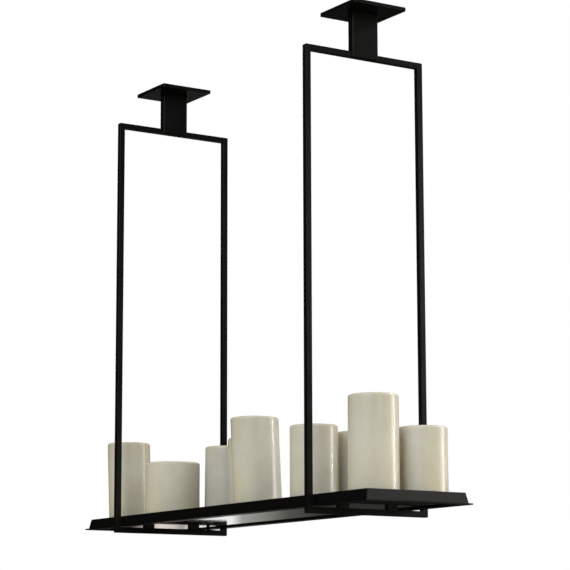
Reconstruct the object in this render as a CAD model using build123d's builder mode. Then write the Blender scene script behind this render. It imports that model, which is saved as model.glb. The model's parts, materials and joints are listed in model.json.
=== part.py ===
"""Linear island pendant: a shallow tray of nine pillar-candle shades, carried by two tall
rectangular hoops that hang from flat stems below two square ceiling canopies.

Frame: millimetres, +Z up, X along the tray, Y across it.  The origin lies in the ceiling plane,
midway between the two ceiling brackets, so everything but the hanger nipples is below z = 0.
"""
from build123d import *
import os

os.makedirs("parts", exist_ok=True)

# ---------------------------------------------------------------- driving dimensions
# Shades, which set the width of the tray
pillar_diameter = 100.0
stout_diameter = 104.0
wide_diameter = 125.0
shade_wall = 6.0
shade_floor = 4.0
shade_lip = 4.5             # rounding of the outer top edge
shade_inner_lip = 1.2       # rounding of the inner top edge
row_gap = 10.0              # between the two rows of shades
neighbour_gap = 3.0         # between the two shades that nearly touch
shade_margin = 14.0         # from a row of shades to the top edge of the tray
wide_shift = 5.0            # of the wide shade, towards the middle line of the tray

# Shades one by one: place along the tray
inset_1 = 75.0              # from the left end of the tray
offset_2 = 92.0            # from the left hoop
offset_3 = 157.0            # from the left hoop
offset_5 = 70.0             # from the middle of the tray
offset_6 = 112.0            # from the right hoop
offset_7 = 102.0            # from the right hoop
inset_8 = 69.0              # from the right end of the tray
inset_9 = 53.5              # from the right end of the tray

# Shades one by one: height above the deck
height_1 = 181.0
height_2 = 121.0
height_3 = 158.0
height_4 = 169.0
height_5 = 190.0
height_6 = 154.0
height_7 = 145.0
height_8 = 196.0
height_9 = 136.0

# Tray
tray_length = 1144.0        # over the top edge of the rim
rim_height = 24.5
rim_sheet = 2.0
rim_flare = 4.5             # outward lean of the wall from top to foot
lip_width = 6.0             # turned out beyond the foot of the wall
lip_thickness = 3.0
inner_flange = 14.0         # turned in below the bright plate
ledge_depth = 8.0           # deck ledge, reaching in from the wall
deck_recess = 4.0           # deck top below the rim's top edge
deck_thickness = 2.0
plate_thickness = 1.5
seat_gap = 0.3              # around pieces dropped into the rim

# Hoops of square tube
hoop_height = 965.0
hoop_inset = 172.0          # from the end of the tray to the middle of the hoop
hoop_side_gap = 6.2         # between the tray's lip and the hoop's upright
bar = 12.7                  # a half-inch tube
bar_wall = 1.2
bar_edge = 0.8              # rounded long edges of the tube
hoop_corner = 2.0
saddle_gap = 2.4            # between hoop bar and rim

# Stems
stem_visible = 87.0         # from canopy to hoop
stem_width = 64.0           # across the tray
stem_depth = 18.0           # along the tray
stem_wall = 2.0
stem_edge = 1.5
cheek_reveal = 2.0          # strip of hoop bar left showing below the stem
notch_gap = 0.2
head_height = 12.0
foot_height = 14.0

# Canopies and ceiling brackets
canopy_size = 130.0
canopy_height = 8.0
canopy_sheet = 1.5
canopy_corner = 2.0
canopy_edge = 0.8
canopy_stem_gap = 0.5
bracket_width = 28.0
bracket_sheet = 2.5
ear_width = 16.0
ear_sheet = 1.5
ear_gap = 0.3               # the sprung ears grip the canopy here
box_screw_spacing = 88.9    # of the ceiling box, 3 1/2 in
box_screw_hole = 5.2

# Hanger nipples and screws
nipple_diameter = 10.0
nipple_bore = 7.0
nipple_rise = 10.0          # above the ceiling plane, into the ceiling box
nipple_engagement = 10.0    # thread inside the stem head
thread_gap = 0.1
nut_flats = 17.0
nut_height = 4.0
screw_diameter = 5.0
screw_head = 8.2
screw_head_height = 4.0
screw_socket_flats = 4.0
head_gap = 0.5
stem_screw_spacing = 24.0
tray_screw_spacing = 120.0

# Saddles and cross members
saddle_length = 24.0
member_width = 30.0
member_height = 8.0
member_sheet = 2.5
notch_width = 14.0          # for the lamp leads

# Lamp holders, galleries and lamps
gallery_gap = 0.4
gallery_floor = 2.0
gallery_wall = 2.0
gallery_height = 8.0
gallery_diameter = 46.0
stud_diameter = 10.0
stud_bore = 6.0
stud_length = 9.0           # below the gallery
holder_flange_diameter = 28.0
holder_flange = 3.0
holder_diameter = 22.0
holder_height = 25.0
holder_bevel = 1.0
holder_nut_flats = 14.0
holder_nut_height = 3.0
pin_diameter = 1.2
pin_length = 8.0
pin_spacing = 8.0
pin_gap = 0.4
socket_extra = 2.0
lamp_base_diameter = 16.0
lamp_base_height = 9.0
globe_diameter = 19.0
globe_height = 46.0

# Wiring
cable_diameter = 3.0
cable_gap = 1.0             # radial, in the holes that it passes
cable_bend = 4.0
cable_run = 10.0            # straight run of the cable beyond a block
stem_cable_offset = 24.0    # cable hole in the stem foot, beside the screws
ferrule_diameter = 8.0
ferrule_clearance = 1.0     # from the ferrule to the rim's inner flange
lead_diameter = 2.0
lead_offset = 1.6           # two leads side by side in a holder's stud
lead_bend = 2.5
lead_height = 3.5           # above the bright plate
lead_end = 4.0              # up inside a holder's stud
terminal_length = 60.0
terminal_width = 22.0
terminal_height = 13.0
terminal_floor = 7.8
terminal_spine = 3.7
terminal_approach = 44.0    # from the middle line, where the cable comes down to the block
terminal_ways = 5
deck_screw_diameter = 3.0
deck_screw_head = 5.6
deck_screw_pitch = 190.0
deck_screw_inset = 0.8      # from the screw's head to the rim's wall

# ---------------------------------------------------------------- derived places
row_offset = (pillar_diameter + row_gap) / 2
tray_width = 2 * (row_offset + pillar_diameter / 2 + shade_margin)
lip_reach = rim_flare + lip_width
hoop_width = tray_width + 2 * (lip_reach + hoop_side_gap + bar)
hoop_spacing = tray_length - 2 * hoop_inset

canopy_bottom = -canopy_height
hoop_top = canopy_bottom - stem_visible
hoop_bottom = hoop_top - hoop_height
upper_bar_centre = hoop_top - bar / 2
lower_bar_centre = hoop_bottom + bar / 2
upright_offset = (hoop_width - bar) / 2

rim_bottom = hoop_bottom + bar + saddle_gap
rim_top = rim_bottom + rim_height
plate_bottom = rim_bottom + lip_thickness
plate_top = plate_bottom + plate_thickness
deck_top = rim_top - deck_recess
deck_bottom = deck_top - deck_thickness

stem_top = -bracket_sheet
stem_bottom = hoop_top - bar + cheek_reveal
bore_depth = stem_depth - 2 * stem_wall
bore_width = stem_width - 2 * stem_wall

hoop_places = {"left": -hoop_spacing / 2, "right": hoop_spacing / 2}

riser_offset = tray_width / 2 - inner_flange - ferrule_clearance - ferrule_diameter / 2

# Middle of each shade: 1, 2, 5, 6 and 8 stand in the front row, the others in the back row
tray_end = tray_length / 2
hoop_x = hoop_spacing / 2
place_3 = -hoop_x + offset_3
shade_places = {
    "1": (-tray_end + inset_1, -row_offset),
    "2": (-hoop_x + offset_2, -row_offset + wide_shift),
    "3": (place_3, row_offset),
    "4": (place_3 + pillar_diameter + neighbour_gap, row_offset),
    "5": (offset_5, -row_offset),
    "6": (hoop_x - offset_6, -row_offset),
    "7": (hoop_x - offset_7, row_offset),
    "8": (tray_end - inset_8, -row_offset),
    "9": (tray_end - inset_9, row_offset),
}
# Diameter and height of each shade
shade_sizes = {
    "1": (pillar_diameter, height_1),
    "2": (wide_diameter, height_2),
    "3": (pillar_diameter, height_3),
    "4": (pillar_diameter, height_4),
    "5": (stout_diameter, height_5),
    "6": (pillar_diameter, height_6),
    "7": (pillar_diameter, height_7),
    "8": (stout_diameter, height_8),
    "9": (pillar_diameter, height_9),
}


def wall_outer(height):
    """Distance of the rim's outer face beyond its top edge, at a height above the rim's foot."""
    return rim_flare * (rim_height - height) / (rim_height - lip_thickness)


def wall_inner(height):
    """The same for the inner face of the rim's wall."""
    return wall_outer(height) - rim_sheet


def save(piece, name):
    """Label a finished piece and write it as its own file."""
    piece.label = name
    export_step(piece, f"parts/{name}.step")


def upright(x, y, z):
    """A plane through a vertical line: its X is the radius, its Y the height above z."""
    return Plane(origin=(x, y, z), x_dir=(1, 0, 0), z_dir=(0, -1, 0))


def level(x, y, z):
    """A horizontal plane centred on a place."""
    return Plane(origin=(x, y, z))


def turned(outline, x, y, z):
    """Revolve a closed outline of (radius, height) points about the vertical line through a place."""
    with BuildPart() as piece:
        with BuildSketch(upright(x, y, z)):
            with BuildLine():
                Polyline(*outline, close=True)
            make_face()
        revolve(axis=Axis((x, y, z), (0, 0, 1)))
    return piece.part


def wire_along(points, diameter, bend):
    """A round wire along straight runs joined by tangent arcs."""
    with BuildPart() as wire:
        with BuildLine() as route:
            FilletPolyline(*points, radius=bend)
        with BuildSketch(Plane(origin=route.line @ 0, z_dir=route.line % 0)):
            Circle(diameter / 2)
        sweep()
    return wire.part


# ---------------------------------------------------------------- ceiling brackets
bracket_length = canopy_size - 2 * (canopy_sheet + ear_gap)
ear_drop = canopy_height - canopy_sheet - bracket_sheet - ear_gap

for side, x in hoop_places.items():
    with BuildPart() as ceiling_bracket:
        with BuildSketch(level(x, 0, -bracket_sheet)):
            Rectangle(bracket_width, bracket_length)
            Circle(nipple_diameter / 2 + thread_gap, mode=Mode.SUBTRACT)
            with GridLocations(0, box_screw_spacing, 1, 2):
                Circle(box_screw_hole / 2, mode=Mode.SUBTRACT)
        extrude(amount=bracket_sheet)
        # Sprung ears folded down at both ends
        with BuildSketch(level(x, 0, -bracket_sheet)):
            with GridLocations(0, bracket_length - ear_sheet, 1, 2):
                Rectangle(ear_width, ear_sheet)
        extrude(amount=-ear_drop)
    save(ceiling_bracket.part, f"ceiling_bracket_{side}")

# ---------------------------------------------------------------- hanger nipples and lock nuts
with BuildPart() as hanger_nipples:
    for x in hoop_places.values():
        with BuildSketch(level(x, 0, stem_top - nipple_engagement)):
            Circle(nipple_diameter / 2)
            Circle(nipple_bore / 2, mode=Mode.SUBTRACT)
        extrude(amount=nipple_rise + nipple_engagement - stem_top)
save(hanger_nipples.part, "hanger_nipples")

with BuildPart() as lock_nuts:
    for x in hoop_places.values():
        with BuildSketch(level(x, 0, 0)):
            RegularPolygon(nut_flats / 2, 6, major_radius=False)
            Circle(nipple_diameter / 2 + thread_gap, mode=Mode.SUBTRACT)
        extrude(amount=nut_height)
save(lock_nuts.part, "lock_nuts")

# ---------------------------------------------------------------- canopies
for side, x in hoop_places.items():
    with BuildPart() as canopy:
        with BuildSketch(level(x, 0, canopy_bottom)):
            RectangleRounded(canopy_size, canopy_size, canopy_corner)
        extrude(amount=canopy_height)
        fillet(canopy.faces().sort_by(Axis.Z)[0].edges(), radius=canopy_edge)
        inside = canopy_size - 2 * canopy_sheet
        with BuildSketch(level(x, 0, canopy_bottom + canopy_sheet)):
            Rectangle(inside, inside)
        extrude(amount=canopy_height - canopy_sheet, mode=Mode.SUBTRACT)
        with BuildSketch(level(x, 0, canopy_bottom)):
            Rectangle(stem_depth + 2 * canopy_stem_gap, stem_width + 2 * canopy_stem_gap)
        extrude(amount=canopy_sheet, mode=Mode.SUBTRACT)
    save(canopy.part, f"canopy_{side}")

# ---------------------------------------------------------------- stems with head and foot blocks
for side, x in hoop_places.items():
    with BuildPart() as stem:
        with BuildSketch(level(x, 0, stem_bottom)):
            RectangleRounded(stem_depth, stem_width, stem_edge)
            Rectangle(bore_depth, bore_width, mode=Mode.SUBTRACT)
        extrude(amount=stem_top - stem_bottom)
        # Notch in both narrow walls, where the stem drops over the hoop's bar
        with BuildSketch(level(x, 0, stem_bottom)):
            Rectangle(bar + 2 * notch_gap, stem_width)
        extrude(amount=hoop_top - stem_bottom, mode=Mode.SUBTRACT)
    save(stem.part, f"stem_{side}")

    with BuildPart() as stem_head:
        with BuildSketch(level(x, 0, stem_top)):
            Rectangle(bore_depth, bore_width)
            Circle(nipple_diameter / 2 + thread_gap, mode=Mode.SUBTRACT)
        extrude(amount=-head_height)
    save(stem_head.part, f"stem_head_{side}")

    with BuildPart() as stem_foot:
        with BuildSketch(level(x, 0, hoop_top)):
            Rectangle(bore_depth, bore_width)
            with GridLocations(0, stem_screw_spacing, 1, 2):
                Circle(screw_diameter / 2 + thread_gap, mode=Mode.SUBTRACT)
            with Locations((0, stem_cable_offset)):
                Circle(cable_diameter / 2 + cable_gap, mode=Mode.SUBTRACT)
        extrude(amount=foot_height)
    save(stem_foot.part, f"stem_foot_{side}")

# ---------------------------------------------------------------- hoops
for side, x in hoop_places.items():
    hoop_middle = (hoop_top + hoop_bottom) / 2
    with BuildPart() as hoop:
        face_plane = Plane(origin=(x - bar / 2, 0, hoop_middle), x_dir=(0, 1, 0), z_dir=(1, 0, 0))
        with BuildSketch(face_plane):
            RectangleRounded(hoop_width, hoop_height, hoop_corner)
            Rectangle(hoop_width - 2 * bar, hoop_height - 2 * bar, mode=Mode.SUBTRACT)
        extrude(amount=bar)
        end_faces = hoop.faces().filter_by(Axis.X)
        fillet(end_faces.edges(), radius=bar_edge)
        # The bore of the tube runs right round the hoop
        with BuildSketch(face_plane.offset(bar_wall)):
            Rectangle(hoop_width - 2 * bar_wall, hoop_height - 2 * bar_wall)
            Rectangle(hoop_width - 2 * (bar - bar_wall), hoop_height - 2 * (bar - bar_wall),
                      mode=Mode.SUBTRACT)
        extrude(amount=bar - 2 * bar_wall, mode=Mode.SUBTRACT)
        # Each screw passes the top wall of a level bar; its head goes in through the wall below
        for bar_top, spacing in ((hoop_top, stem_screw_spacing),
                                 (hoop_bottom + bar, tray_screw_spacing)):
            with BuildSketch(level(x, 0, bar_top)):
                with GridLocations(0, spacing, 1, 2):
                    Circle(screw_diameter / 2 + thread_gap)
            extrude(amount=-bar_wall, mode=Mode.SUBTRACT)
            with BuildSketch(level(x, 0, bar_top - bar)):
                with GridLocations(0, spacing, 1, 2):
                    Circle(screw_head / 2 + head_gap)
            extrude(amount=bar_wall, mode=Mode.SUBTRACT)
        # Cable holes in the top walls of both level bars
        for bar_top, offset in ((hoop_top, stem_cable_offset),
                                (hoop_bottom + bar, riser_offset)):
            with BuildSketch(level(x, offset, bar_top)):
                Circle(cable_diameter / 2 + cable_gap)
            extrude(amount=-bar_wall, mode=Mode.SUBTRACT)
    save(hoop.part, f"hoop_{side}")

# ---------------------------------------------------------------- hoop screws and saddle blocks
saddle_height = saddle_gap + lip_thickness
member_top = plate_top + member_height


def socket_screw(x, y, seat, reach):
    """A socket screw whose head bears up against a seat and whose shank rises by a reach."""
    with BuildPart() as screw:
        with BuildSketch(level(x, y, seat)):
            Circle(screw_head / 2)
        extrude(amount=-screw_head_height)
        with BuildSketch(level(x, y, seat)):
            Circle(screw_diameter / 2)
        extrude(amount=reach)
        with BuildSketch(level(x, y, seat - screw_head_height)):
            RegularPolygon(screw_socket_flats / 2, 6, major_radius=False)
        extrude(amount=screw_head_height / 2, mode=Mode.SUBTRACT)
    return screw.part


stem_screw_reach = bar_wall + foot_height - thread_gap
tray_screw_reach = bar_wall + saddle_height + plate_thickness + member_sheet
with BuildPart() as stem_screws:
    for x in hoop_places.values():
        for y in (-stem_screw_spacing / 2, stem_screw_spacing / 2):
            add(socket_screw(x, y, hoop_top - bar_wall, stem_screw_reach))
save(stem_screws.part, "stem_screws")

with BuildPart() as tray_screws:
    for x in hoop_places.values():
        for y in (-tray_screw_spacing / 2, tray_screw_spacing / 2):
            add(socket_screw(x, y, hoop_bottom + bar - bar_wall, tray_screw_reach))
save(tray_screws.part, "tray_screws")

with BuildPart() as saddle_blocks:
    for x in hoop_places.values():
        with BuildSketch(level(x, 0, hoop_bottom + bar)):
            with GridLocations(0, tray_screw_spacing, 1, 2):
                Rectangle(bar, saddle_length)
                Circle(screw_diameter / 2 + thread_gap, mode=Mode.SUBTRACT)
        extrude(amount=saddle_height)
save(saddle_blocks.part, "saddle_blocks")

with BuildPart() as cable_ferrule:
    with BuildSketch(level(hoop_places["left"], riser_offset, hoop_bottom + bar)):
        Circle(ferrule_diameter / 2)
        Circle(cable_diameter / 2 + cable_gap, mode=Mode.SUBTRACT)
    extrude(amount=saddle_height)
save(cable_ferrule.part, "cable_ferrule")

# ---------------------------------------------------------------- tray rim
# One moulding, mitred round the four corners: turned-out lip, leaning wall, deck ledge inside
# and a flange turned in at the foot, under the bright plate.
ledge_top = rim_height - deck_recess - deck_thickness
ledge_bottom = ledge_top - rim_sheet
moulding = [
    (lip_reach, 0),
    (lip_reach, lip_thickness),
    (rim_flare, lip_thickness),
    (0, rim_height),
    (-rim_sheet, rim_height),
    (wall_inner(ledge_top), ledge_top),
    (wall_inner(ledge_top) - ledge_depth, ledge_top),
    (wall_inner(ledge_top) - ledge_depth, ledge_bottom),
    (wall_inner(ledge_bottom), ledge_bottom),
    (wall_inner(lip_thickness), lip_thickness),
    (-inner_flange, lip_thickness),
    (-inner_flange, 0),
]
deck_wall = tray_width / 2 + wall_inner(rim_height - deck_recess)
deck_screw_line = deck_wall - deck_screw_inset - deck_screw_head / 2
deck_screw_count = int((tray_length - deck_screw_pitch / 2) // deck_screw_pitch) + 1

with BuildPart() as tray_rim:
    with BuildLine(Plane.XY.offset(rim_bottom)):
        Polyline(
            (0, -tray_width / 2),
            (-tray_end, -tray_width / 2),
            (-tray_end, tray_width / 2),
            (tray_end, tray_width / 2),
            (tray_end, -tray_width / 2),
            (0, -tray_width / 2),
        )
    outward = Plane(origin=(0, -tray_width / 2, rim_bottom), x_dir=(0, -1, 0), z_dir=(-1, 0, 0))
    with BuildSketch(outward):
        with BuildLine():
            Polyline(*moulding, close=True)
        make_face()
    sweep(transition=Transition.RIGHT)
    with BuildSketch(Plane.XY.offset(rim_bottom + ledge_bottom)):
        with GridLocations(deck_screw_pitch, 2 * deck_screw_line, deck_screw_count, 2):
            Circle(deck_screw_diameter / 2 + thread_gap)
    extrude(amount=rim_sheet, mode=Mode.SUBTRACT)
save(tray_rim.part, "tray_rim")

# ---------------------------------------------------------------- bright plate, cross members, deck
plate_edge = wall_inner(ledge_top) - ledge_depth - seat_gap
with BuildPart() as mirror_plate:
    with BuildSketch(Plane.XY.offset(plate_bottom)):
        Rectangle(tray_length + 2 * plate_edge, tray_width + 2 * plate_edge)
        with GridLocations(hoop_spacing, tray_screw_spacing, 2, 2):
            Circle(screw_diameter / 2 + thread_gap, mode=Mode.SUBTRACT)
        with Locations((hoop_places["left"], riser_offset)):
            Circle(cable_diameter / 2 + cable_gap, mode=Mode.SUBTRACT)
    extrude(amount=plate_thickness)
save(mirror_plate.part, "mirror_plate")

member_length = tray_width + 2 * (wall_inner(member_top - rim_bottom) - seat_gap)
for side, x in hoop_places.items():
    with BuildPart() as cross_member:
        with BuildSketch(level(x, 0, plate_top)):
            Rectangle(member_width, member_length)
            with GridLocations(0, tray_screw_spacing, 1, 2):
                Circle(screw_diameter / 2 + thread_gap, mode=Mode.SUBTRACT)
            with Locations((0, riser_offset)):
                Circle(cable_diameter / 2 + cable_gap, mode=Mode.SUBTRACT)
        extrude(amount=member_sheet)
        # Upstanding legs, notched where the lamp leads cross
        with BuildSketch(level(x, 0, plate_top)):
            with GridLocations(member_width - member_sheet, 0, 2, 1):
                Rectangle(member_sheet, member_length)
        extrude(amount=member_height)
        with BuildSketch(level(x, 0, plate_top + member_sheet)):
            with GridLocations(0, 2 * row_offset, 1, 2):
                Rectangle(member_width, notch_width)
        extrude(amount=member_height - member_sheet, mode=Mode.SUBTRACT)
    save(cross_member.part, f"cross_member_{side}")

deck_edge = wall_inner(deck_top - rim_bottom) - seat_gap
with BuildPart() as tray_deck:
    with BuildSketch(Plane.XY.offset(deck_bottom)):
        Rectangle(tray_length + 2 * deck_edge, tray_width + 2 * deck_edge)
        with Locations(*shade_places.values()):
            Circle(stud_diameter / 2 + thread_gap, mode=Mode.SUBTRACT)
    extrude(amount=deck_thickness)
    with Locations(Plane.XY.offset(deck_top)):
        with GridLocations(deck_screw_pitch, 2 * deck_screw_line, deck_screw_count, 2):
            CounterSinkHole(deck_screw_diameter / 2 + thread_gap,
                            deck_screw_head / 2 + thread_gap,
                            counter_sink_angle=90)
save(tray_deck.part, "tray_deck")

deck_shank = deck_screw_diameter / 2
deck_head = deck_screw_head / 2
deck_screw_outline = [
    (0, 0),
    (deck_head, 0),
    (deck_shank, deck_shank - deck_head),
    (deck_shank, -deck_thickness - rim_sheet),
    (0, -deck_thickness - rim_sheet),
]
with BuildPart() as deck_screws:
    for place in GridLocations(deck_screw_pitch, 2 * deck_screw_line, deck_screw_count, 2):
        add(turned(deck_screw_outline, place.position.X, place.position.Y, deck_top))
save(deck_screws.part, "deck_screws")

# ---------------------------------------------------------------- galleries and lamp holders
gallery_radius = gallery_diameter / 2
gallery_outline = [
    (stud_diameter / 2 + thread_gap, 0),
    (gallery_radius, 0),
    (gallery_radius, gallery_height - gallery_wall / 2),
    (gallery_radius - gallery_wall / 2, gallery_height),
    (gallery_radius - gallery_wall, gallery_height),
    (gallery_radius - gallery_wall, gallery_floor),
    (stud_diameter / 2 + thread_gap, gallery_floor),
]
with BuildPart() as shade_galleries:
    for x, y in shade_places.values():
        add(turned(gallery_outline, x, y, deck_top))
save(shade_galleries.part, "shade_galleries")

with BuildPart() as holder_nuts:
    for x, y in shade_places.values():
        with BuildSketch(level(x, y, deck_bottom)):
            RegularPolygon(holder_nut_flats / 2, 6, major_radius=False)
            Circle(stud_diameter / 2 + thread_gap, mode=Mode.SUBTRACT)
        extrude(amount=-holder_nut_height)
save(holder_nuts.part, "holder_nuts")

holder_foot = deck_top + gallery_floor
holder_top = holder_foot + holder_flange + holder_height
stud_end = deck_top - stud_length
socket_depth = pin_length + socket_extra
holder_radius = holder_diameter / 2
holder_outline = [
    (stud_bore / 2, stud_end - holder_foot),
    (stud_diameter / 2, stud_end - holder_foot),
    (stud_diameter / 2, 0),
    (holder_flange_diameter / 2, 0),
    (holder_flange_diameter / 2, holder_flange),
    (holder_radius, holder_flange),
    (holder_radius, holder_top - holder_foot - holder_bevel),
    (holder_radius - holder_bevel, holder_top - holder_foot),
    (0, holder_top - holder_foot),
    (0, holder_flange),
    (stud_bore / 2, holder_flange),
]
for number, (x, y) in shade_places.items():
    with BuildPart() as lamp_holder:
        add(turned(holder_outline, x, y, holder_foot))
        with BuildSketch(level(x, y, holder_top)):
            with GridLocations(pin_spacing, 0, 2, 1):
                Circle(pin_diameter / 2 + pin_gap)
        extrude(amount=-socket_depth, mode=Mode.SUBTRACT)
    save(lamp_holder.part, f"lamp_holder_{number}")

# ---------------------------------------------------------------- capsule lamps
globe_radius = globe_diameter / 2
globe_foot = holder_top + lamp_base_height
for number, (x, y) in shade_places.items():
    with BuildPart() as lamp:
        with BuildSketch(upright(x, y, globe_foot)):
            with BuildLine():
                Line((0, -lamp_base_height), (lamp_base_diameter / 2, -lamp_base_height))
                Line((lamp_base_diameter / 2, -lamp_base_height), (lamp_base_diameter / 2, 0))
                Line((lamp_base_diameter / 2, 0), (globe_radius, 0))
                Line((globe_radius, 0), (globe_radius, globe_height - globe_radius))
                CenterArc((0, globe_height - globe_radius), globe_radius, 0, 90)
                Line((0, globe_height), (0, -lamp_base_height))
            make_face()
        revolve(axis=Axis((x, y, globe_foot), (0, 0, 1)))
        with BuildSketch(level(x, y, holder_top)):
            with GridLocations(pin_spacing, 0, 2, 1):
                Circle(pin_diameter / 2)
        extrude(amount=-pin_length)
    save(lamp.part, f"lamp_{number}")

# ---------------------------------------------------------------- pillar shades
shade_hole = gallery_radius + gallery_gap
for number, (x, y) in shade_places.items():
    diameter, height = shade_sizes[number]
    radius = diameter / 2
    inner_radius = radius - shade_wall
    with BuildPart() as shade:
        with BuildSketch(upright(x, y, deck_top)):
            with BuildLine():
                Line((shade_hole, 0), (radius, 0))
                Line((radius, 0), (radius, height - shade_lip))
                CenterArc((radius - shade_lip, height - shade_lip), shade_lip, 0, 90)
                Line((radius - shade_lip, height), (inner_radius + shade_inner_lip, height))
                CenterArc((inner_radius + shade_inner_lip, height - shade_inner_lip),
                          shade_inner_lip, 90, 90)
                Line((inner_radius, height - shade_inner_lip), (inner_radius, shade_floor))
                Line((inner_radius, shade_floor), (shade_hole, shade_floor))
                Line((shade_hole, shade_floor), (shade_hole, 0))
            make_face()
        revolve(axis=Axis((x, y, deck_top), (0, 0, 1)))
    save(shade.part, f"shade_{number}")

# ---------------------------------------------------------------- terminal block and wiring
lead_level = plate_top + lead_height
with BuildPart() as terminal_block:
    with BuildSketch(level(0, 0, plate_top)):
        Rectangle(terminal_length, terminal_width)
    extrude(amount=terminal_floor)
    with BuildSketch(level(0, 0, plate_top)):
        with GridLocations(terminal_length / terminal_ways, 0, terminal_ways + 1, 1):
            Rectangle(member_sheet, terminal_width)
        Rectangle(terminal_length + member_sheet, terminal_spine)
    extrude(amount=terminal_height)
save(terminal_block.part, "terminal_block")

# Supply cable: down the left stem, round inside the left hoop, up through the ferrule and
# along the tray to the terminal block
cable_x = hoop_places["left"]
cable_level = member_top + cable_diameter
cable_landing = -terminal_length / terminal_ways
nipple_top = nipple_rise - cable_gap
supply_route = [
    (cable_x, 0, nipple_top),
    (cable_x, 0, stem_top - head_height - cable_run),
    (cable_x, stem_cable_offset, hoop_top + foot_height + cable_run),
    (cable_x, stem_cable_offset, upper_bar_centre),
    (cable_x, upright_offset, upper_bar_centre),
    (cable_x, upright_offset, lower_bar_centre),
    (cable_x, riser_offset, lower_bar_centre),
    (cable_x, riser_offset, cable_level),
    (cable_landing, riser_offset, cable_level),
    (cable_landing, terminal_approach, cable_level),
    (cable_landing, terminal_width, lead_level),
    (cable_landing, terminal_width / 2, lead_level),
]
save(wire_along(supply_route, cable_diameter, cable_bend), "supply_cable")

# Lamp leads: from the terminal block to the nearest holders, then from holder to holder
lead_rise = stud_end + lead_end
lead_row = terminal_width / 4
terminal_end = (terminal_length + member_sheet) / 2


def link(first, second):
    """A lead between two holders in a row, up into the stud of each."""
    x1, y1 = shade_places[first]
    x2, y2 = shade_places[second]
    start = x1 + lead_offset
    end = x2 - lead_offset
    return [(start, y1, lead_rise), (start, y1, lead_level), (end, y2, lead_level), (end, y2, lead_rise)]


def feed(number, end):
    """A lead from one end of the terminal block (-1 left, 1 right) to a holder."""
    place, row = shade_places[number]
    x = place - end * lead_offset
    start = lead_row if row > 0 else -lead_row
    return [(end * terminal_end, start, lead_level), (x, start, lead_level), (x, row, lead_level),
            (x, row, lead_rise)]


lead_routes = [feed("2", -1), feed("4", -1), feed("5", 1), feed("7", 1)]
lead_routes += [link("1", "2"), link("3", "4"), link("5", "6"), link("6", "8"), link("7", "9")]
with BuildPart() as lamp_leads:
    for lead_route in lead_routes:
        add(wire_along(lead_route, lead_diameter, lead_bend))
save(lamp_leads.part, "lamp_leads")
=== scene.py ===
"""Looks of a linear island pendant: black coated hoops and tray, a bright plate under the tray,
and nine hand-poured pillar shades over capsule lamps, in a pale studio.

Metres throughout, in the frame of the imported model: +Z up, X along the tray, ceiling at z = 0.
"""
import bmesh
import bpy
import json
import math
from mathutils import Matrix, Vector, noise


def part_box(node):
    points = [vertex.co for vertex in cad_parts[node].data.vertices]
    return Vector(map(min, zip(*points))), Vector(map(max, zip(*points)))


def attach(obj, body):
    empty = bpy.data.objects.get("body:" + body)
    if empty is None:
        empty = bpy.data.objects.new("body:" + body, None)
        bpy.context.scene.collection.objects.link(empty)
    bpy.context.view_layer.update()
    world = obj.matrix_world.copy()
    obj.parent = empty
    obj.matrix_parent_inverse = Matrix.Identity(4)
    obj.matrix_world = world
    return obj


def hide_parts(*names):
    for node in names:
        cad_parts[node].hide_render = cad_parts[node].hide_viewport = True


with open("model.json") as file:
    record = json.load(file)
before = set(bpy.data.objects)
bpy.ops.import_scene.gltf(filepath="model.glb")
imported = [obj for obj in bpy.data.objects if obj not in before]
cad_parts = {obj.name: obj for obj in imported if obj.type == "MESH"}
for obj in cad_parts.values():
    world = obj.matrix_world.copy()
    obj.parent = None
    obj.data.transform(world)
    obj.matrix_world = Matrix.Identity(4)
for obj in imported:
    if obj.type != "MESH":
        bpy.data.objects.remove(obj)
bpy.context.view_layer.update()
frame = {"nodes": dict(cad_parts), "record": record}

MM = 0.001
SIDES = ("left", "right")


def numbered(prefix):
    """CAD nodes named by a prefix and a number, such as shade_1."""
    return [name for name in frame["nodes"] if name.startswith(prefix) and name[len(prefix):].isdigit()]


SHADES = numbered("shade_")
LAMPS = numbered("lamp_")
DECK_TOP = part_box("tray_deck")[1].z

# ---------------------------------------------------------------- sizes of the detailed pieces
# Shades
SHADE_SIDES = 96
SHADE_RINGS = 24
SHADE_WALL = 6.0 * MM
SHADE_FLOOR = 4.0 * MM
SHADE_HOLE = 46.8 * MM
LIP_ROUND = 4.5 * MM
LIP_STEPS = 8
LIP_INNER_ROUND = 1.2 * MM
LIP_INNER_STEPS = 4
FOOT_ROUND = 1.0 * MM
FOOT_STEPS = 3
LEAN = {"shade_1": (-0.018, -0.026), "shade_5": (-0.022, -0.034), "shade_3": (0.004, 0.006)}
TAPER = {"shade_8": 0.025, "shade_3": 0.015, "shade_9": 0.01}       # narrowing from foot to rim

# Unevenness of a hand-poured wall and of its rim
HAND_WAVE = 0.45 * MM
RIM_WAVE = 0.7 * MM
WAVE_ROUND = 1.3             # how fast the wave changes round the wall
WAVE_UP = 14                 # and how fast up it, per metre
WAVE_APART = 7.3             # step in the noise from one shade to the next
RIM_APART = 31               # step in the noise from the wall's wave to the rim's
RIM_POWER = 3                # keeps the rim's wave near the rim
SETTLED_HEIGHT = 20.0 * MM   # the foot stays true: the wave and the lean set in over this height

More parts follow.
